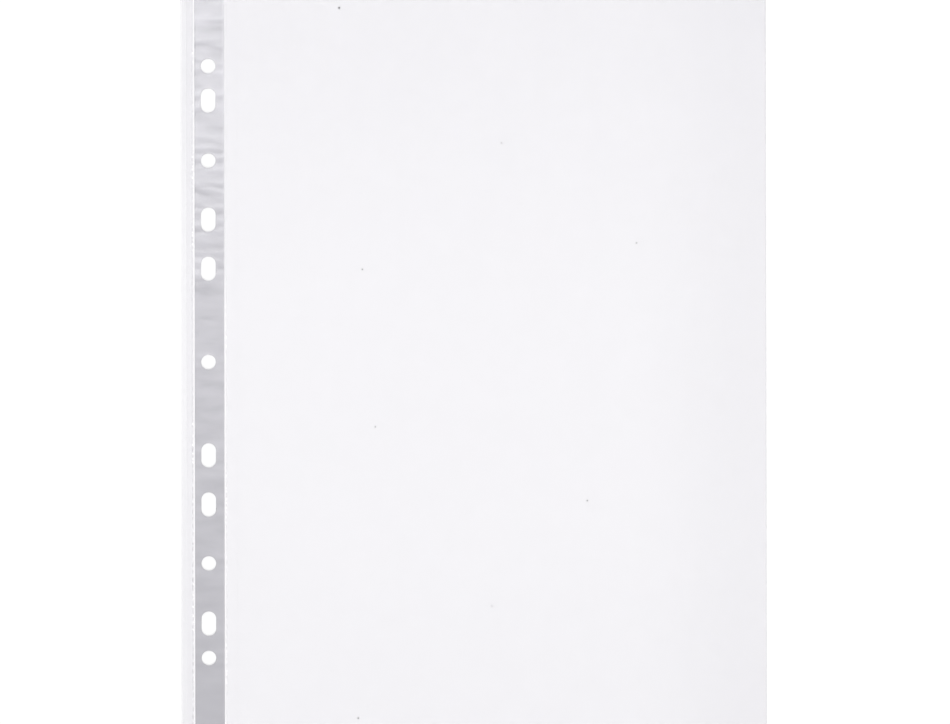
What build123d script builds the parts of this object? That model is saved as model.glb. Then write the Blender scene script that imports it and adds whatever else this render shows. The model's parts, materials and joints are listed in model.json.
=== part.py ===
from build123d import *
import os

# A clear pocket for A4 sheets with a punched binding strip, lying flat on its back.
# X runs from the strip to the folded edge, Y to the open mouth, Z through the layers.
# All sizes are in millimetres.

# Pocket
height = 305.0  # bottom edge to open mouth
pocket_width = 217.55  # crease beside the strip to the folded edge
film_thickness = 0.10
bottom_weld_width = 2.5
side_zone_width = 70.0  # front film that stays down beside the crease and beside the fold

# Reinforcing tape, held between the two films
tape_width = 11.85
tape_thickness = 0.25

# Seams of weld spots on both sides of the tape, and the free edges outside them
seam_width = 0.9
seam_slope = 0.7  # on each side of a seam, where the films part again
weld_spot_length = 2.0
weld_spot_gap = 1.1
weld_thickness = 0.06  # melt left between the films in a weld spot
front_lip = 1.75  # front film beyond the outer seam
back_lip = 2.45  # back film beyond the front film

# Punching along the tape: one round hole at mid height, the rest in pairs about it
hole_diameter = 6.0
slot_length = 10.0
hole_inset = 5.5  # hole line from the outer edge of the tape
inner_hole_spacing = 163.3
outer_hole_spacing = 240.0
inner_slot_spacing = 75.7
middle_slot_spacing = 115.5
outer_slot_spacing = 212.1

# Levels of the layers
tape_top = film_thickness + tape_thickness
stack = tape_top + film_thickness
back_layer = (0, film_thickness)
tape_layer = (film_thickness, tape_top)
front_layer = (tape_top, stack)
weld_layer = ((stack - weld_thickness) / 2, (stack + weld_thickness) / 2)
dip = (tape_thickness - weld_thickness) / 2  # of each film towards the other at a seam

# Lines across the width, from the free edge of the strip to the fold
strip_width = back_lip + front_lip + tape_width + 2 * seam_width + 3 * seam_slope
back_edge = -(strip_width + pocket_width) / 2
front_edge = back_edge + back_lip
outer_seam = front_edge + front_lip
tape_edge = outer_seam + seam_width + seam_slope
hole_line = tape_edge + hole_inset
tape_far_edge = tape_edge + tape_width
inner_seam = tape_far_edge + seam_slope
crease = inner_seam + seam_width + seam_slope
fold_radius = stack / 2
fold_line = crease + pocket_width - fold_radius

# Lines along the height
bottom = -height / 2
mouth = height / 2
weld_line = bottom + bottom_weld_width
full_height = (bottom, mouth)
above_weld = (weld_line, mouth)

# Edges of the front film that lifts when the mouth opens
flap_start = crease + side_zone_width
flap_end = fold_line - side_zone_width


def slab(x, y, z):
    """A flat layer between the two values of each pair."""
    return Pos(x[0], y[0], z[0]) * Box(x[1] - x[0], y[1] - y[0], z[1] - z[0], align=Align.MIN)


def pairs(*spacings):
    """Places along the height of hole pairs centred on mid height."""
    return [side * spacing / 2 for spacing in spacings for side in (-1, 1)]


def punch():
    """The round holes and slots, as one tool that passes right through the strip."""
    rounds = [0, *pairs(inner_hole_spacing, outer_hole_spacing)]
    slots = pairs(inner_slot_spacing, middle_slot_spacing, outer_slot_spacing)
    round_hole = Circle(hole_diameter / 2)
    slot = SlotOverall(slot_length, hole_diameter, rotation=90)
    outlines = [Pos(hole_line, y) * round_hole for y in rounds] + [Pos(hole_line, y) * slot for y in slots]
    return Pos(0, 0, -stack) * extrude(Sketch() + outlines, 3 * stack)


def seam(edge):
    """A row of weld spots that join the two films."""
    pitch = weld_spot_length + weld_spot_gap
    count = int(height // pitch)
    spot = slab((edge, edge + seam_width), (-weld_spot_length / 2, weld_spot_length / 2), weld_layer)
    return Compound([place * spot for place in GridLocations(0, pitch, 1, count)])


def along_height(profile):
    """A section in X and Z, drawn out over the whole height."""
    return extrude(Plane.XZ * make_face(profile), height / 2, both=True)


def strip_film(edge, level, draw):
    """The punched film on one side of the tape, drawn in by draw at the seams that hold the tape."""
    lower = [(edge, level)]
    for seam_edge in (outer_seam, inner_seam):
        far_edge = seam_edge + seam_width
        lower += [(seam_edge - seam_slope, level), (seam_edge, level + draw)]
        lower += [(far_edge, level + draw), (far_edge + seam_slope, level)]
    upper = [(x, z + film_thickness) for x, z in reversed(lower)]
    return along_height(Polyline(*lower, *upper, close=True)) - holes


def fold():
    """The film turned back on itself along the right edge."""
    ends = (fold_line, 0), (fold_line, stack)
    bow = ThreePointArc(ends[0], (fold_line + fold_radius, fold_radius), ends[1])
    return along_height([bow, Line(*ends)])


holes = punch()

nodes = {
    "reinforcing_tape": slab((tape_edge, tape_far_edge), full_height, tape_layer) - holes,
    "strip_back_film": strip_film(back_edge, 0, dip),
    "strip_front_film": strip_film(front_edge, tape_top, -dip),
    "outer_seam": seam(outer_seam),
    "inner_seam": seam(inner_seam),
    "back_panel": slab((crease, fold_line), above_weld, back_layer),
    "bottom_weld": slab((crease, fold_line), (bottom, weld_line), (0, stack)),
    "side_fold": fold(),
    "front_panel_strip_side": slab((crease, flap_start), above_weld, front_layer),
    "front_panel_middle": slab((flap_start, flap_end), above_weld, front_layer),
    "front_panel_fold_side": slab((flap_end, fold_line), above_weld, front_layer),
}

os.makedirs("parts", exist_ok=True)
for name, shape in nodes.items():
    export_step(shape, f"parts/{name}.step")
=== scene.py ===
import json
import math
import random
from collections import namedtuple

import bpy
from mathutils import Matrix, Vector, noise
from mathutils.geometry import delaunay_2d_cdt


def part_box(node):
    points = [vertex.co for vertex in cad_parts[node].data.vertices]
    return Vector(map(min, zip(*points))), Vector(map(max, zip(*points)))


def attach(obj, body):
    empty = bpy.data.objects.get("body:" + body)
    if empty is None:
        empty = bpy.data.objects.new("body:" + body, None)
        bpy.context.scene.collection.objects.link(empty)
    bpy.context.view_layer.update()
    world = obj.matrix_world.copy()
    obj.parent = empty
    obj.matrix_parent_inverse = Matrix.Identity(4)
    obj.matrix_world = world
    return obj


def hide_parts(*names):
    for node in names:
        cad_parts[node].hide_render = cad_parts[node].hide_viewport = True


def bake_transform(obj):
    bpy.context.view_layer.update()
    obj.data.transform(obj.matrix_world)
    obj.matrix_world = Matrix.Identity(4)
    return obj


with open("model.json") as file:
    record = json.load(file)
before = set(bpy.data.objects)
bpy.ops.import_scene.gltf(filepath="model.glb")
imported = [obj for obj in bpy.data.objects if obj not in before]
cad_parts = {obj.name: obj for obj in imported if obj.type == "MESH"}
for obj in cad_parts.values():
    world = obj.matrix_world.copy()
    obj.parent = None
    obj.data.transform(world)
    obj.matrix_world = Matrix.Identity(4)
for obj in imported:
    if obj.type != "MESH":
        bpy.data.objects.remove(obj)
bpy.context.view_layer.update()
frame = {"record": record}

# A clear pocket with a punched binding strip, lying flat and seen from straight above.
# X runs from the strip to the folded edge, Y from the bottom to the open mouth, Z through the layers.
# All lengths are in metres, and MM turns millimetres into them. Mid height is at y = 0.
MM = 0.001
X, Y, Z = range(3)

# Film that bends
BEND_WIDTH = 3.0 * MM  # beside the crease, when the page turns

# Seams
SEAM_SLOPE = 0.7 * MM  # on each side of a seam, where the films part again
SPOT_LENGTH = 2.0 * MM
SPOT_PITCH = 3.1 * MM
SPOT_RINGS = ((0.0, 0.75), (0.5, 1.0), (1.0, 0.75))  # height and width of a weld spot's rings, as shares
SPOT_SIDES = 16
DRAW_BETWEEN_SPOTS = 0.55  # of the films, as a share of their draw at a spot

# Wrinkles across the tape
WRINKLE_HEIGHT = 0.09 * MM  # most that they rise or dip
WRINKLE_COUNT = 80
PUCKER_PITCH = 4.8 * MM  # of the short wrinkles beside each hole
PUCKER_REACH = 2.5 * MM
PUCKER_WIDTH = 1.0 * MM

# Punched holes
PUNCH_BURR = 0.03 * MM  # raised rim round each hole
BURR_WIDTH = 0.5 * MM
ARC_STEPS = 20  # along each half circle of a hole's outline
HOLE_MARGIN = 0.2 * MM  # kept free of grid points beside a hole, so that no triangle is thin

# Films of the pocket
SAG = 0.2 * MM  # of the front film towards the back film
SAG_START = 25 * MM  # from the bend to the full sag
BACK_WAVE = 0.03 * MM  # most that the back film leaves the table
BACK_WAVE_START = 20 * MM  # from the bend to the full wave
FOLD_STIFFNESS = 20 * MM  # beside the fold, where sag and waves end
FUSED_THICKNESS = 0.2 * MM  # of the two films at the bottom weld
WELD_APPROACH = 6 * MM  # height over which the front film comes down to the bottom weld
WELD_CORNER = 3 * MM  # width over which it rises again beside the fold
RIB_PITCH = 1.0 * MM  # of the bottom weld's ribs
RIB_DEPTH = 0.06 * MM
RIB_END = 0.4 * MM  # over which a rib runs out
LAYER_GAP = 0.012 * MM  # kept free between layers that lie on each other

# Mesh sizes
SHARP_ANGLE = math.radians(40)  # rims sharper than this stay crisp
MERGE_DISTANCE = 1e-9
STRIP_ROW = 0.5 * MM
LIP_STEP = 0.25 * MM
SEAM_STEP = 0.3 * MM
CLEAR_LINE_STEP = 0.18 * MM  # between the tape and its seams
TAPE_STEP = 0.7 * MM
TAPE_RIM = 1.2 * MM  # edge of the tape with finer steps
TAPE_LEFT_STEP = 0.2 * MM
TAPE_RIGHT_STEP = 0.3 * MM
BEND_STEP = 0.4 * MM
POCKET_STEP = 3 * MM
FOLD_EDGE = 1.5 * MM  # film beside the fold with finer steps
FOLD_STEP = 0.3 * MM
FOLD_FACETS = 10
RIB_STEPS = 4  # in each rib
WELD_ROW = 0.4 * MM

# Ramps along the height, each from one place to another
TOWARDS_ENDS = 20 * MM, 80 * MM  # away from mid height
TOWARDS_MOUTH = 60 * MM, 110 * MM
ABOVE_DASHES = -65 * MM, -20 * MM  # where clear weld spots take over from dark ones

# Haze of the film, in shares of what its plain middle has
LIP_HAZE = 0.62  # added on the back film beyond the front film
LIP_MOUTH_HAZE = 0.7
LIP_LOWER_HAZE = 0.65
LIP_BLUR = 0.25 * MM
LIP_NARROWING = 0.1 * MM  # in the lower half
FREE_EDGE_HAZE = 0.28
FREE_ENDS_HAZE = 0.07
SEAM_HAZE = 0.35
SEAM_BLUR = 0.3 * MM
MOUTH_HAZE = 0.55
BOTTOM_HAZE = 0.15
BOTTOM_HAZE_START = 60 * MM  # below mid height
FOLD_SIDE_HAZE = 0.35
FOLD_SIDE_WIDTH = 60 * MM
FOLD_HAZE = 0.3
FOLD_BLUR = 0.3 * MM
RIM_CLEARING = 0.5  # taken away at the back film's very edge
RIM_WIDTH = 1.0 * MM
LINE_CLEARING = 0.95  # taken away along the clear lines beside the tape, which are partly clearer fused film and partly a painted highlight
LINE_WIDTH = 0.5 * MM
LINE_BLUR = 0.2 * MM
BEAD_GLINT_WIDTH = 0.55 * MM  # added to a clear line at its beads, as painted glints of the glossy beads

# Painted shade of the tape, in shares of what its left edge has at the mouth: a painted shadow along its
# left edge, a paler right edge, and painted shade and highlight in its wrinkles
DARK_EDGE = 0.15 * MM, 0.5 * MM  # width of the painted shadow along the left edge, where it starts to fade and where it ends
PALE_EDGE = 0.2 * MM, 1.0 * MM  # the same for the pale right edge
FOOT_EDGE_SHADE = 0.2  # of the left edge's painted shadow in the lower half
PALE_EDGE_LIFT = 0.6  # of the right edge at the mouth
PAINTED_WRINKLE_SHADE = 0.3  # painted shade in the deepest wrinkles, and painted highlight on the highest crests

# Colours
FILM_LIGHT = (0.84, 0.835, 0.865, 1)
FILM_SHADE = (0.76, 0.755, 0.79, 1)
FILM_TINT = (0.9995, 0.9985, 1, 1)  # of the light that passes
DUST_GREY = (0.2, 0.2, 0.2, 1)
# Tape colours, spread by a tone that carries painted light towards the mouth, painted highlight and shade
# of its crinkles, and its painted shade
TAPE_LIGHT = (0.72, 0.715, 0.751, 1)
TAPE_MIDDLE = (0.585, 0.58, 0.612, 1)
TAPE_DARK = (0.37, 0.366, 0.394, 1)
TAPE_TINT = (0.86, 0.855, 0.88, 1)
WELD_LIGHT = (0.78, 0.775, 0.80, 1)
WELD_DARK = (0.55, 0.548, 0.58, 1)
TABLE_WHITE = (0.9, 0.9, 0.9, 1)
WHITE = (1, 1, 1, 1)

# Photograph, in pixels
IMAGE_WIDTH = 950
IMAGE_HEIGHT = 724
PHOTO_CENTRE_X = 473.5  # column of the pocket's middle
PHOTO_CENTRE_Y = 361.65  # row of the pocket's middle
PIXELS_PER_MM = 2.4668
PHOTO_ROLL = math.radians(-0.09)


def span(node, axis):
    """Lowest and highest place of a solid along an axis."""
    low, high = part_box(node)
    return low[axis], high[axis]


# Lines across the width
back_edge, crease = span("strip_back_film", X)
front_edge = span("strip_front_film", X)[0]
tape_edge, tape_far_edge = span("reinforcing_tape", X)
outer_seam = span("outer_seam", X)
inner_seam = span("inner_seam", X)
bend_end = crease + BEND_WIDTH
flap_start, flap_end = span("front_panel_middle", X)
fold_line = span("side_fold", X)[0]

# Lines along the height
bottom, mouth = span("strip_back_film", Y)
weld_line = span("back_panel", Y)[0]

# Levels of the layers
film = span("back_panel", Z)[1]
tape_top = span("reinforcing_tape", Z)[1]
stack = span("front_panel_middle", Z)[1]
weld_bottom, weld_top = span("outer_seam", Z)
draw = tape_top - weld_top  # of each film towards the other at a seam
fold_radius = stack / 2


def smooth(value, start, end):
    """0 before start, 1 after end and an even ramp between them."""
    t = min(max((value - start) / (end - start), 0.0), 1.0)
    return t * t * (3 - 2 * t)


def between(value, start, end, slope):
    """1 from start to end, and an even ramp as long as slope outside each of them."""
    return smooth(value, start - slope, start) * (1 - smooth(value, end, end + slope))


def stretch(start, end, size):
    """Evenly spaced values from start to end, about size apart."""
    count = max(1, round((end - start) / size))
    return [start + (end - start) * i / count for i in range(count + 1)]


def chain(stretches):
    """The values of stretches that follow each other, with each shared end once."""
    values = []
    for piece in stretches:
        values += piece[1:] if values else piece
    return values


def ripple(x, y, across, along, seed):
    """Noise from about -1 to 1, with a given number of waves a metre across and along."""
    return noise.noise(Vector((x * across, y * along, seed)))


# Punched holes

Hole = namedtuple("Hole", "line low high radius")  # its centre line's x, lowest y and highest y


def punched_holes():
    """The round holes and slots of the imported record."""
    found = []
    for mount in frame["record"]["mounts"]:
        x, y, _ = mount["pos_m"]
        sizes = mount["dims"]
        if mount["kind"] == "bore":
            found.append(Hole(x, y, y, sizes["r_mm"] * MM))
        if mount["kind"] == "bolt_pattern":
            radius = sizes["hole_r_mm"] * MM
            straight = sizes["slot_length_mm"] * MM / 2 - radius
            for side in (-1, 1):
                centre = y + side * sizes["spacing_y_mm"] * MM / 2
                found.append(Hole(x, centre - straight, centre + straight, radius))
    return found


holes = punched_holes()


def outside_holes(x, y):
    """Distance from a point to the nearest hole's edge, negative inside a hole."""
    return min(math.hypot(x - h.line, y - min(max(y, h.low), h.high)) - h.radius for h in holes)


def hole_outline(hole):
    """Points round a hole, in order."""
    points = []
    for middle, first in ((hole.high, 0.0), (hole.low, math.pi)):
        for i in range(ARC_STEPS + 1):
            angle = first + math.pi * i / ARC_STEPS
            across, up = math.cos(angle), math.sin(angle)
            points.append((hole.line + hole.radius * across, middle + hole.radius * up))
    return list(dict.fromkeys((round(x, 9), round(y, 9)) for x, y in points))


# Meshes


def quads(columns, rows):
    """Points and faces of a plain grid."""
    points = [(x, y) for y in rows for x in columns]
    wide = len(columns)
    faces = []
    for row in range(len(rows) - 1):
        for column in range(wide - 1):
            first = row * wide + column
            faces.append((first, first + 1, first + 1 + wide, first + wide))
    return points, faces


def punched(columns, rows):
    """Points and faces of a grid with the holes cut out."""
    points = [Vector((x, y)) for y in rows for x in columns if outside_holes(x, y) > HOLE_MARGIN]
    edges = []
    for hole in holes:
        first = len(points)
        points += [Vector(p) for p in hole_outline(hole)]
        ring = list(range(first, len(points)))
        edges += zip(ring, ring[1:] + ring[:1])
    found, _, faces, _, _, _ = delaunay_2d_cdt(points, edges, [], 0, MERGE_DISTANCE)
    kept = []
    for face in faces:
        middle = sum((found[i] for i in face), Vector((0, 0))) / len(face)
        if outside_holes(*middle) > 0:
            kept.append(tuple(face))
    return [tuple(p) for p in found], kept


def finish_mesh(name, points, faces, material, haze=None):
    """A smooth mesh object with sharp rims, and the share of haze at each point, which on the tape is its
    painted shade.
    """
    mesh = bpy.data.meshes.new(name)
    mesh.from_pydata(points, [], faces)
    mesh.shade_smooth()
    mesh.set_sharp_from_angle(angle=SHARP_ANGLE)
    if haze:
        mesh.attributes.new("haze", "FLOAT", "POINT").data.foreach_set("value", haze)
    mesh.materials.append(material)
    piece = bpy.data.objects.new(name, mesh)
    bpy.context.scene.collection.objects.link(piece)
    return piece


def sheet(name, flat, place, material, haze):
    """A closed sheet. place(u, y) gives the under and upper (x, z) of a point of the flat grid."""
    points, faces = flat
    under, upper, shares = [], [], []
    for u, y in points:
        (x0, z0), (x1, z1) = place(u, y)
        under.append((x0, y, z0))
        upper.append((x1, y, z1))
        shares.append(haze(u, y))
    count = len(points)
    sides = {pair for face in faces for pair in zip(face, face[1:] + face[:1])}
    walls = [(b, a, a + count, b + count) for a, b in sides if (b, a) not in sides]
    unders = [tuple(i + count for i in reversed(face)) for face in faces]
    return finish_mesh(name, upper + under, faces + unders + walls, material, shares * 2)


# Wrinkles of the strip

Wrinkle = namedtuple("Wrinkle", "x y tilt bow reach width height")


def strip_wrinkles():
    """Wrinkles across the tape, more and higher towards the mouth, and puckers beside each hole."""
    uneven = random.Random(5)
    found = []
    for _ in range(WRINKLE_COUNT):
        x = uneven.uniform(tape_edge, tape_far_edge)
        y = mouth - (mouth - bottom) * uneven.random() ** 1.4
        tilt = uneven.uniform(-0.25, 0.25)
        bow = uneven.uniform(-30, 30)
        reach = uneven.uniform(4, 9) * MM
        width = uneven.uniform(0.9, 1.9) * MM
        strength = 0.12 + 0.88 * smooth(y, -10 * MM, 70 * MM)
        height = WRINKLE_HEIGHT * uneven.uniform(-1.3, 1.3) * strength
        found.append(Wrinkle(x, y, tilt, bow, reach, width, height))
    for hole in holes:
        for edge, side in ((tape_edge, -1), (tape_far_edge, 1)):
            x = (edge + (hole.line + side * hole.radius)) / 2
            turn = uneven.choice((-1, 1))
            for y in stretch(hole.low - hole.radius, hole.high + hole.radius, PUCKER_PITCH / 2):
                strength = 0.35 + 0.65 * smooth(y, -20 * MM, 60 * MM)
                height = turn * WRINKLE_HEIGHT * uneven.uniform(0.3, 1) * strength
                tilt = uneven.uniform(-0.2, 0.2)
                found.append(Wrinkle(x, y, tilt, 0.0, PUCKER_REACH, PUCKER_WIDTH, height))
                turn = -turn
    return found


wrinkles = strip_wrinkles()


def wrinkle(x, y):
    """Height of the wrinkles at a point of the strip, which end at the tape's edges."""
    on_tape = between(x, tape_edge, tape_far_edge, SEAM_SLOPE)
    if on_tape == 0:
        return 0.0
    total = 0.0
    for each in wrinkles:
        aside = x - each.x
        away = (y - each.y - each.tilt * aside - each.bow * aside * aside) / each.width
        if abs(away) < 3:  # further off, a wrinkle has run out
            total += each.height * math.exp(-away * away - (aside / each.reach) ** 2)
    return on_tape * min(max(total, -WRINKLE_HEIGHT), WRINKLE_HEIGHT)


# Forms of the layers


def seam_share(x, y):
    """1 on a weld spot, less between spots and 0 where the films are apart."""
    across = max(between(x, start, end, SEAM_SLOPE) for start, end in (outer_seam, inner_seam))
    along = 0.5 + 0.5 * math.cos(2 * math.pi * (y / SPOT_PITCH - 0.5))
    return across * (DRAW_BETWEEN_SPOTS + (1 - DRAW_BETWEEN_SPOTS) * along)


def burr(x, y):
    """Height of the rim raised by the punch."""
    return PUNCH_BURR * (1 - smooth(outside_holes(x, y), 0.0, BURR_WIDTH))


def front_strip(x, y):
    """The front film over the tape, drawn in at the seams."""
    level = tape_top - draw * seam_share(x, y) + wrinkle(x, y) + burr(x, y)
    return (x, level), (x, level + film)


def back_strip(x, y):
    """The back film under the tape, drawn in at the seams."""
    level = draw * seam_share(x, y)
    return (x, level), (x, level + film)


def tape(x, y):
    """The tape, wrinkled on its upper side."""
    return (x, film + LAYER_GAP), (x, tape_top - LAYER_GAP + wrinkle(x, y) + burr(x, y))


def slack(x, start):
    """Share of sag or waves: none at the bend and at the fold, and full from start past the bend."""
    return smooth(x, bend_end, bend_end + start) * (1 - smooth(x, fold_line - FOLD_STIFFNESS, fold_line))


def back_pocket(x, y):
    """The back film of the pocket, which hardly leaves the table."""
    wave = BACK_WAVE * (0.5 + 0.5 * ripple(x, y, 14, 9, 2))
    level = wave * slack(x, BACK_WAVE_START)
    return (x, level), (x, level + film)


def fold(u):
    """The film turned back on itself, at a length past the fold line."""
    angle = math.pi / 2 - (u - fold_line) / fold_radius
    across, up = math.cos(angle), math.sin(angle)
    inside = fold_radius - film
    inner = fold_line + inside * across, fold_radius + inside * up
    outer = fold_line + fold_radius * across, fold_radius + fold_radius * up
    return inner, outer


def front_pocket(u, y):
    """The front film of the pocket, sagging towards the back film, and the fold past the fold line."""
    if u > fold_line:
        return fold(u)
    wave = 0.5 + 0.35 * ripple(u, y, 16, 11, 7) + 0.15 * ripple(u, y, 45, 30, 3)
    sag = SAG * slack(u, SAG_START) * wave
    weld_drop = (tape_top + film - FUSED_THICKNESS) * (1 - smooth(y, weld_line, weld_line + WELD_APPROACH))
    drop = max(sag, weld_drop * smooth(fold_line - u, 0, WELD_CORNER))
    level = max(tape_top - drop, film + 4 * LAYER_GAP)
    return (u, level), (u, level + film)


def bottom_weld(x, y):
    """Both films fused, with fine ribs across the band."""
    rib = 0.5 - 0.5 * math.cos(2 * math.pi * x / RIB_PITCH)
    inside = between(y, bottom + RIB_END, weld_line - RIB_END, RIB_END)
    return (x, 0.0), (x, FUSED_THICKNESS - RIB_DEPTH * rib * inside)


# Haze, and on the tape painted shade and highlight, kept at the points of each mesh


def bead_glints(y, seed):
    """Share of clear beads along a seam, in loose groups, where the clearing is a painted glint of each
    glossy bead.
    """
    groups = smooth(noise.noise(Vector((seed, y * 45, 0))), -0.1, 0.3)
    return groups * smooth(noise.noise(Vector((seed, y * 850, 4))), -0.05, 0.2)


def clear_and_highlit_line(x, y, edge, away, seed):
    """Share of the clear line between the tape and a seam, partly clearer film and partly painted
    highlight, which widens at the painted glints of the beads. away is -1 or 1.
    """
    width = LINE_WIDTH + BEAD_GLINT_WIDTH * bead_glints(y, seed)
    distance = (x - edge) * away
    return between(distance, 0.0, width, LINE_BLUR)


def film_haze(x, y):
    """Share of haze in the film: more at its rims and the fold, less beside the tape, where the clear lines
    are partly a painted highlight.
    """
    lower_half = smooth(-y, *TOWARDS_ENDS)
    near_mouth = smooth(y, *TOWARDS_MOUTH)
    lip_end = front_edge + LIP_BLUR / 2 - LIP_NARROWING * lower_half
    lip = 1 - smooth(x, lip_end - LIP_BLUR, lip_end)
    share = 1 + lip * (LIP_HAZE + LIP_MOUTH_HAZE * near_mouth + LIP_LOWER_HAZE * lower_half)
    seam_start, seam_end = outer_seam
    free_edge = 1 - smooth(x, seam_start, tape_edge)
    share += free_edge * (FREE_EDGE_HAZE + FREE_ENDS_HAZE * smooth(abs(y), *TOWARDS_ENDS))
    on_seam = between(x, seam_start + SEAM_BLUR, seam_end, SEAM_BLUR)
    share += SEAM_HAZE * on_seam * smooth(y, *ABOVE_DASHES) * (1 - 0.5 * near_mouth)
    share += MOUTH_HAZE * smooth(y, TOWARDS_ENDS[0], mouth)
    share += BOTTOM_HAZE * smooth(-y, BOTTOM_HAZE_START, mouth)
    share += FOLD_SIDE_HAZE * smooth(x, fold_line - FOLD_SIDE_WIDTH, fold_line)
    share += FOLD_HAZE * smooth(x, fold_line - FOLD_BLUR, fold_line)
    share *= 1 - RIM_CLEARING * (1 - smooth(x, back_edge, back_edge + RIM_WIDTH))
    # clear lines beside the tape, partly clearer film and partly painted highlight, with painted glints at
    # the beads
    left_line = clear_and_highlit_line(x, y, tape_edge, -1, 1)
    right_line = clear_and_highlit_line(x, y, tape_far_edge, 1, 2) * (1 - 0.85 * smooth(y, 20 * MM, 45 * MM))
    return share * (1 - LINE_CLEARING * max(left_line, right_line))


def painted_tape_shade(x, y):
    """Share of painted shade at the tape's left edge and in the dips of its wrinkles, below 0 where the
    tape is paler: at its right edge, and on the wrinkles' crests as painted highlight.
    """
    upper_half = smooth(y, 0.0, mouth)
    left_inset, left_end = DARK_EDGE
    left = 1 - smooth(x, tape_edge + left_inset, tape_edge + left_end)
    right = 1 - smooth(tape_far_edge - x, *PALE_EDGE)
    # painted shadow along the tape's left edge, strongest towards the mouth
    dark = left * (FOOT_EDGE_SHADE + (1 - FOOT_EDGE_SHADE) * upper_half)
    pale = PALE_EDGE_LIFT * right * upper_half
    # painted shade in the wrinkles' dips and painted highlight on their crests
    return dark - pale - PAINTED_WRINKLE_SHADE * wrinkle(x, y) / WRINKLE_HEIGHT


def even_haze(_x, _y):
    """The same haze everywhere."""
    return 1.0


# Materials


def new_material(name):
    """An empty node material and its tree."""
    made = bpy.data.materials.new(name)
    made.use_nodes = True
    made.node_tree.nodes.clear()
    return made, made.node_tree


def add(tree, kind, **settings):
    """A node with its settings and input values."""
    node = tree.nodes.new(kind)
    inputs = settings.pop("inputs", {})
    for name, value in settings.items():
        setattr(node, name, value)
    for name, value in inputs.items():
        if isinstance(value, bpy.types.NodeSocket):
            tree.links.new(value, node.inputs[name])
        else:
            node.inputs[name].default_value = value
    return node


def math_node(tree, operation, first, second):
    """The result of an operation on two sockets or numbers."""
    return add(tree, "ShaderNodeMath", operation=operation, inputs={0: first, 1: second}).outputs[0]


def ranged(tree, value, low, high):
    """A 0 to 1 value spread from low to high."""
    made = add(tree, "ShaderNodeMapRange", inputs={"Value": value, "To Min": low, "To Max": high})
    return made.outputs[0]


def own_place(tree):
    """The object's own coordinates."""
    return add(tree, "ShaderNodeTexCoord").outputs["Object"]


def grain(tree, scale, detail, across=1.0):
    """Noise in the object's own coordinates, drawn out across the width where across is under 1."""
    mapped = add(tree, "ShaderNodeMapping", inputs={"Vector": own_place(tree), "Scale": (across, 1.0, 1.0)})
    made = add(tree, "ShaderNodeTexNoise", inputs={
        "Vector": mapped.outputs[0], "Scale": scale, "Detail": detail})
    return made.outputs["Fac"]


def swing(tree, pattern, amount):
    """A 0 to 1 pattern, turned into a swing of that amount about 0."""
    return math_node(tree, "MULTIPLY", math_node(tree, "SUBTRACT", pattern, 0.5), amount)


def haze_share(tree):
    """The share of haze kept at the points of the mesh, which on the tape is its painted shade and
    highlight.
    """
    return add(tree, "ShaderNodeAttribute", attribute_name="haze").outputs["Fac"]


def ramp(tree, value, first, last, *stops):
    """Colour of a 0 to 1 value, from the first colour to the last, with stops of a place and a colour."""
    made = add(tree, "ShaderNodeValToRGB", inputs={"Fac": value})
    made.color_ramp.elements[0].color = first
    made.color_ramp.elements[1].color = last
    for place, colour in stops:
        made.color_ramp.elements.new(place).color = colour
    return made.outputs[0]


def plastic(tree, colour, roughness, relief, strength, depth, ior):
    """A plastic surface with a fine relief."""
    bump = add(tree, "ShaderNodeBump", inputs={"Height": relief, "Strength": strength, "Distance": depth})
    return add(tree, "ShaderNodeBsdfPrincipled", inputs={
        "Base Color": colour, "Roughness": roughness, "Normal": bump.outputs[0], "IOR": ior})


def see_through(tree, share, tint, surface):
    """Output of a surface of which only a share shows, and the rest lets light through."""
    clear = add(tree, "ShaderNodeBsdfTransparent", inputs={"Color": tint})
    mixed = add(tree, "ShaderNodeMixShader", inputs={
        "Fac": share, 1: clear.outputs[0], 2: surface.outputs[0]})
    add(tree, "ShaderNodeOutputMaterial", inputs={"Surface": mixed.outputs[0]})


def gloss_rise(tree, exponent, amount):
    """Rise of the surface's share towards a flat view, as on any clear plastic."""
    facing = add(tree, "ShaderNodeLayerWeight", inputs={"Blend": 0.5}).outputs["Facing"]
    return math_node(tree, "MULTIPLY", math_node(tree, "POWER", facing, exponent), amount)


def dust(tree):
    """1 on a few specks, far apart and less than a millimetre across."""
    cells = add(tree, "ShaderNodeTexVoronoi", voronoi_dimensions="2D", inputs={
        "Vector": own_place(tree), "Scale": 13.0})
    radius = ranged(tree, grain(tree, scale=25.0, detail=0.0), 0.0, 0.0075)
    return math_node(tree, "LESS_THAN", cells.outputs["Distance"], radius)


def film_material():
    """Clear film: a little uneven haze, a fine grain, a soft gloss and a few specks of dust."""
    made, tree = new_material("clear_film")
    clouds = grain(tree, scale=45.0, detail=2.0)
    fine = grain(tree, scale=1400.0, detail=1.0)
    haze = math_node(tree, "MULTIPLY", haze_share(tree), ranged(tree, clouds, 0.052, 0.07))
    speck = dust(tree)
    veil = math_node(tree, "ADD", haze, math_node(tree, "MULTIPLY", speck, 0.35))
    share = math_node(tree, "ADD", veil, gloss_rise(tree, exponent=4.0, amount=0.8))
    tone = math_node(tree, "SUBTRACT", clouds, speck)
    colour = ramp(tree, tone, DUST_GREY, FILM_LIGHT, (0.25, FILM_SHADE))
    roughness = ranged(tree, fine, 0.08, 0.2)
    surface = plastic(tree, colour, roughness, relief=fine, strength=0.1, depth=0.02 * MM, ior=1.5)
    see_through(tree, share, FILM_TINT, surface)
    return made


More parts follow.
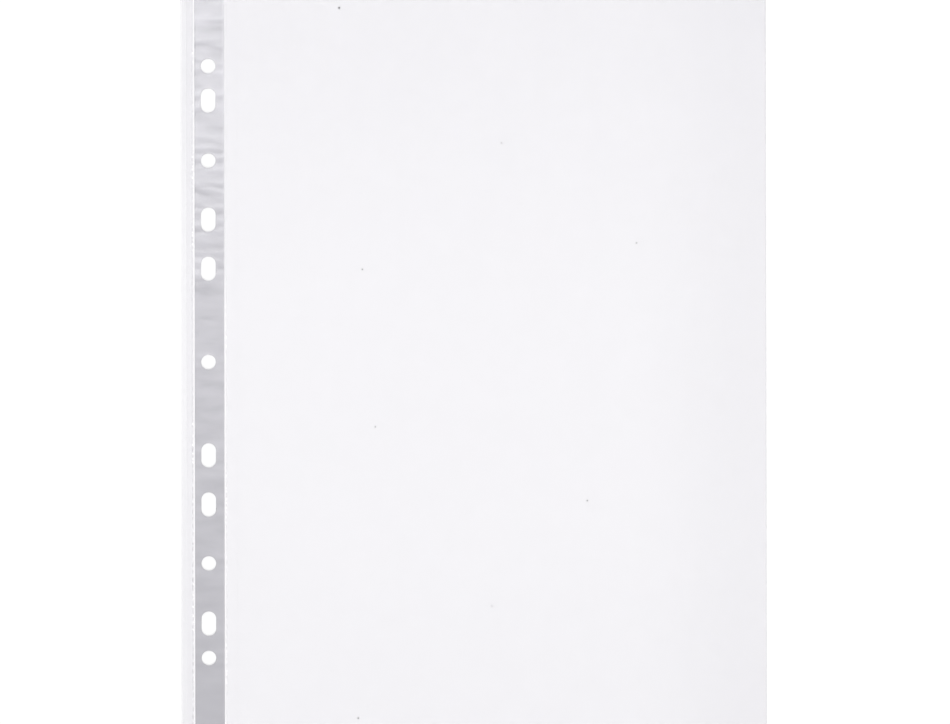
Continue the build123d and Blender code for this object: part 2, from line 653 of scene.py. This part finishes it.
def tape_material():
    """Cloudy grey tape, paler towards the mouth through a painted gradient of light, with soft bands across
    it that are partly random tone and partly painted highlight and shade of its crinkles, and a satin
    surface.
    """
    made, tree = new_material("cloudy_tape")
    along = add(tree, "ShaderNodeSeparateXYZ", inputs={0: own_place(tree)}).outputs["Y"]
    height = add(tree, "ShaderNodeMapRange", inputs={
        "Value": along, "From Min": bottom, "From Max": mouth}).outputs[0]
    clouds = grain(tree, scale=60.0, detail=4.0, across=0.6)
    bands = grain(tree, scale=190.0, detail=3.0, across=0.3)
    # painted highlight and shade of the crinkles, swinging more towards the mouth, mixed with random tone
    banded_tone_and_crinkle_light = swing(tree, bands, ranged(tree, height, 0.12, 1.4))
    unevenness = math_node(tree, "ADD", banded_tone_and_crinkle_light, swing(tree, clouds, 0.2))
    # painted light: the tone rises evenly from the foot to the mouth, standing in for the light's falloff
    # and reflection on the tape
    level = math_node(tree, "ADD", ranged(tree, height, 0.25, 0.75), unevenness)
    # the tape's painted shade and highlight, kept at its points, darken or lighten its tone
    tone = math_node(tree, "SUBTRACT", level, math_node(tree, "MULTIPLY", haze_share(tree), 0.5))
    colour = ramp(tree, tone, TAPE_DARK, TAPE_LIGHT, (0.5, TAPE_MIDDLE))
    roughness = ranged(tree, bands, 0.1, 0.2)
    surface = plastic(tree, colour, roughness, relief=bands, strength=0.5, depth=0.2 * MM, ior=1.6)
    see_through(tree, ranged(tree, clouds, 0.9, 0.98), TAPE_TINT, surface)
    return made


def weld_material():
    """Film that has been melted and pressed: frosted, with a fine grain."""
    made, tree = new_material("frosted_weld")
    frost = grain(tree, scale=900.0, detail=5.0)
    share = math_node(tree, "MULTIPLY", haze_share(tree), ranged(tree, frost, 0.1, 0.3))
    colour = ramp(tree, frost, WELD_DARK, WELD_LIGHT)
    roughness = ranged(tree, frost, 0.35, 0.65)
    surface = plastic(tree, colour, roughness, relief=frost, strength=0.4, depth=0.05 * MM, ior=1.5)
    see_through(tree, share, WHITE, surface)
    return made


clear_film = film_material()
cloudy_tape = tape_material()
frosted_weld = weld_material()


# Pieces

strip_rows = stretch(bottom, mouth, STRIP_ROW)


def strip_columns(edge):
    """Lines across a film of the strip, from its free edge to the end of the bend."""
    (outer, outer_end), (inner, inner_end) = outer_seam, inner_seam
    return chain([
        stretch(edge, outer - SEAM_SLOPE, LIP_STEP),
        stretch(outer - SEAM_SLOPE, outer, SEAM_STEP),
        stretch(outer, outer_end, SEAM_STEP),
        stretch(outer_end, tape_edge, CLEAR_LINE_STEP),
        stretch(tape_edge, tape_far_edge, TAPE_STEP),
        stretch(tape_far_edge, inner, CLEAR_LINE_STEP),
        stretch(inner, inner_end, SEAM_STEP),
        stretch(inner_end, crease, SEAM_STEP),
        stretch(crease, bend_end, BEND_STEP),
    ])


def strip_film(name, edge, place, *nodes):
    """A film of the strip, which runs on past the crease to the end of the bend width."""
    piece = sheet(name, punched(strip_columns(edge), strip_rows), place, clear_film, film_haze)
    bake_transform(piece)
    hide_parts(*nodes)


def tape_piece():
    """The punched tape between the films."""
    columns = chain([
        stretch(tape_edge, tape_edge + TAPE_RIM, TAPE_LEFT_STEP),
        stretch(tape_edge + TAPE_RIM, tape_far_edge - TAPE_RIM, TAPE_STEP),
        stretch(tape_far_edge - TAPE_RIM, tape_far_edge, TAPE_RIGHT_STEP),
    ])
    piece = sheet("tape", punched(columns, strip_rows), tape, cloudy_tape, painted_tape_shade)
    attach(piece, "binding_strip")
    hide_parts("reinforcing_tape")


def weld_spot(x, y, width, length):
    """Points and faces of one weld spot: a small squarish cushion of melt."""
    points = []
    for share, grow in SPOT_RINGS:
        level = weld_bottom + LAYER_GAP + (weld_top - weld_bottom - 2 * LAYER_GAP) * share
        for i in range(SPOT_SIDES):
            angle = 2 * math.pi * i / SPOT_SIDES
            reach = [math.copysign(abs(v) ** 0.5, v) for v in (math.cos(angle), math.sin(angle))]
            points.append((x + reach[0] * width / 2 * grow, y + reach[1] * length / 2 * grow, level))
    rings = [range(r * SPOT_SIDES, (r + 1) * SPOT_SIDES) for r in range(len(SPOT_RINGS))]
    faces = [tuple(reversed(rings[0])), tuple(rings[-1])]
    for lower, higher in zip(rings, rings[1:]):
        for i in range(SPOT_SIDES):
            k = (i + 1) % SPOT_SIDES
            faces.append((lower[i], lower[k], higher[k], higher[i]))
    return points, faces


def weld_spots(name, node, tape_side, seed, clearest, cloudiest):
    """A row of weld spots of uneven size, place and haze.

    tape_side is 1 where the tape lies to the right of the row, and -1 where it lies to the left.
    """
    uneven = random.Random(seed)
    (start, end), (low, high) = span(node, X), span(node, Y)
    points, faces, haze = [], [], []
    for i in range(round((high - low - SPOT_LENGTH) / SPOT_PITCH) + 1):
        width = (end - start) * uneven.uniform(0.35, 0.55)
        length = SPOT_LENGTH * uneven.uniform(0.5, 1.45)
        y = low + SPOT_LENGTH / 2 + i * SPOT_PITCH + (SPOT_PITCH - length) / 2 * uneven.uniform(-0.9, 0.9)
        shift = tape_side * (end - start - width) / 2 * uneven.uniform(0.6, 1)
        spot_points, spot_faces = weld_spot((start + end) / 2 + shift, y, width, length)
        first = len(points)
        points += spot_points
        faces += [tuple(first + k for k in face) for face in spot_faces]
        fade = 1 - 0.75 * smooth(y, *ABOVE_DASHES)
        haze += [uneven.uniform(clearest, cloudiest) * fade] * len(spot_points)
    piece = finish_mesh(name, points, faces, frosted_weld, haze)
    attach(piece, "binding_strip")
    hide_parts(node)


def pocket_film(name, columns, place, *nodes):
    """A film of the pocket above the bottom weld."""
    grid = quads(columns, stretch(weld_line, mouth, POCKET_STEP))
    piece = sheet(name, grid, place, clear_film, film_haze)
    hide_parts(*nodes)
    return piece


def pocket_films():
    """The back film, and the front film in its three zones with the fold."""
    fold_edge = stretch(fold_line - FOLD_EDGE, fold_line, FOLD_STEP)
    turn = math.pi * fold_radius
    bow = stretch(fold_line, fold_line + turn, turn / FOLD_FACETS)
    across = chain([stretch(bend_end, fold_line - FOLD_EDGE, POCKET_STEP), fold_edge])
    near_strip = stretch(bend_end, flap_start, POCKET_STEP)
    lifted = stretch(flap_start, flap_end, POCKET_STEP)
    near_fold = chain([stretch(flap_end, fold_line - FOLD_EDGE, POCKET_STEP), fold_edge, bow])
    back = pocket_film("back_film", across, back_pocket, "back_panel")
    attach(back, "pocket")
    left = pocket_film("front_film_strip_side", near_strip, front_pocket, "front_panel_strip_side")
    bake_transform(left)
    middle = pocket_film("front_film_middle", lifted, front_pocket, "front_panel_middle")
    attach(middle, "mouth_flap")
    right = pocket_film(
        "front_film_fold_side", near_fold, front_pocket, "front_panel_fold_side", "side_fold")
    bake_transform(right)


def weld_band():
    """The ribbed band of the bottom weld."""
    across = stretch(bend_end, fold_line, RIB_PITCH / RIB_STEPS)
    band = quads(across, stretch(bottom, weld_line, WELD_ROW))
    weld = sheet("bottom_weld_band", band, bottom_weld, frosted_weld, even_haze)
    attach(weld, "pocket")
    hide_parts("bottom_weld")


strip_film("strip_back", back_edge, back_strip, "strip_back_film")
strip_film("strip_front", front_edge, front_strip, "strip_front_film")
tape_piece()
weld_spots("outer_weld_spots", "outer_seam", tape_side=1, seed=3, clearest=0.25, cloudiest=0.95)
weld_spots("inner_weld_spots", "inner_seam", tape_side=-1, seed=8, clearest=0.1, cloudiest=0.2)
pocket_films()
weld_band()


# Stage


def table():
    """A plain pale table, just under the pocket."""
    made, tree = new_material("pale_table")
    surface = add(tree, "ShaderNodeBsdfDiffuse", inputs={"Color": TABLE_WHITE})
    add(tree, "ShaderNodeOutputMaterial", inputs={"Surface": surface.outputs[0]})
    half = 4.0
    level = -0.02 * MM
    corners = [(-half, -half, level), (half, -half, level), (half, half, level), (-half, half, level)]
    finish_mesh("table", corners, [(0, 1, 2, 3)], made)


def softbox(name, place, aim, size, watts, mirrored):
    """A square area light turned towards a point, which gloss may mirror or not."""
    lamp = bpy.data.lights.new(name, "AREA")
    lamp.shape = "SQUARE"
    lamp.size = size
    lamp.energy = watts
    made = bpy.data.objects.new(name, lamp)
    made.location = place
    made.rotation_euler = (Vector(aim) - Vector(place)).to_track_quat("-Z", "Y").to_euler()
    made.visible_camera = False
    made.visible_glossy = mirrored
    bpy.context.scene.collection.objects.link(made)


def surround():
    """A pale surround, palest at the horizon."""
    world = bpy.data.worlds.new("studio")
    world.use_nodes = True
    tree = world.node_tree
    direction = add(tree, "ShaderNodeTexCoord").outputs["Generated"]
    upwards = add(tree, "ShaderNodeSeparateXYZ", inputs={0: direction}).outputs["Z"]
    strength = add(tree, "ShaderNodeMapRange", inputs={
        "Value": upwards, "From Min": 0.0, "From Max": 0.5, "To Min": 0.55, "To Max": 0.36}).outputs[0]
    background = tree.nodes["Background"]
    background.inputs["Color"].default_value = WHITE
    tree.links.new(strength, background.inputs["Strength"])
    world.cycles.sampling_method = "NONE"
    bpy.context.scene.world = world


def camera():
    """Straight above, framed as the photograph is."""
    lens = bpy.data.cameras.new("camera")
    lens.lens = 100
    lens.sensor_width = 36
    made = bpy.data.objects.new("camera", lens)
    frame_width = IMAGE_WIDTH / PIXELS_PER_MM * MM
    aside = (IMAGE_WIDTH / 2 - PHOTO_CENTRE_X) / PIXELS_PER_MM * MM
    along = (PHOTO_CENTRE_Y - IMAGE_HEIGHT / 2) / PIXELS_PER_MM * MM
    made.location = aside, along, stack + frame_width * lens.lens / lens.sensor_width
    made.rotation_euler = 0, 0, PHOTO_ROLL
    bpy.context.scene.collection.objects.link(made)
    bpy.context.scene.camera = made


table()
surround()
softbox("above_mouth", place=(-0.2, 1.59, 2.7), aim=(-0.2, 0.915, 0), size=2.7, watts=62.0, mirrored=True)
softbox("from_foot", place=(0.2, -3.0, 3.0), aim=(0, 0, 0), size=3.0, watts=99.0, mirrored=False)
camera()
bpy.context.scene.view_settings.view_transform = "Standard"
bpy.context.scene.cycles.transparent_max_bounces = 64
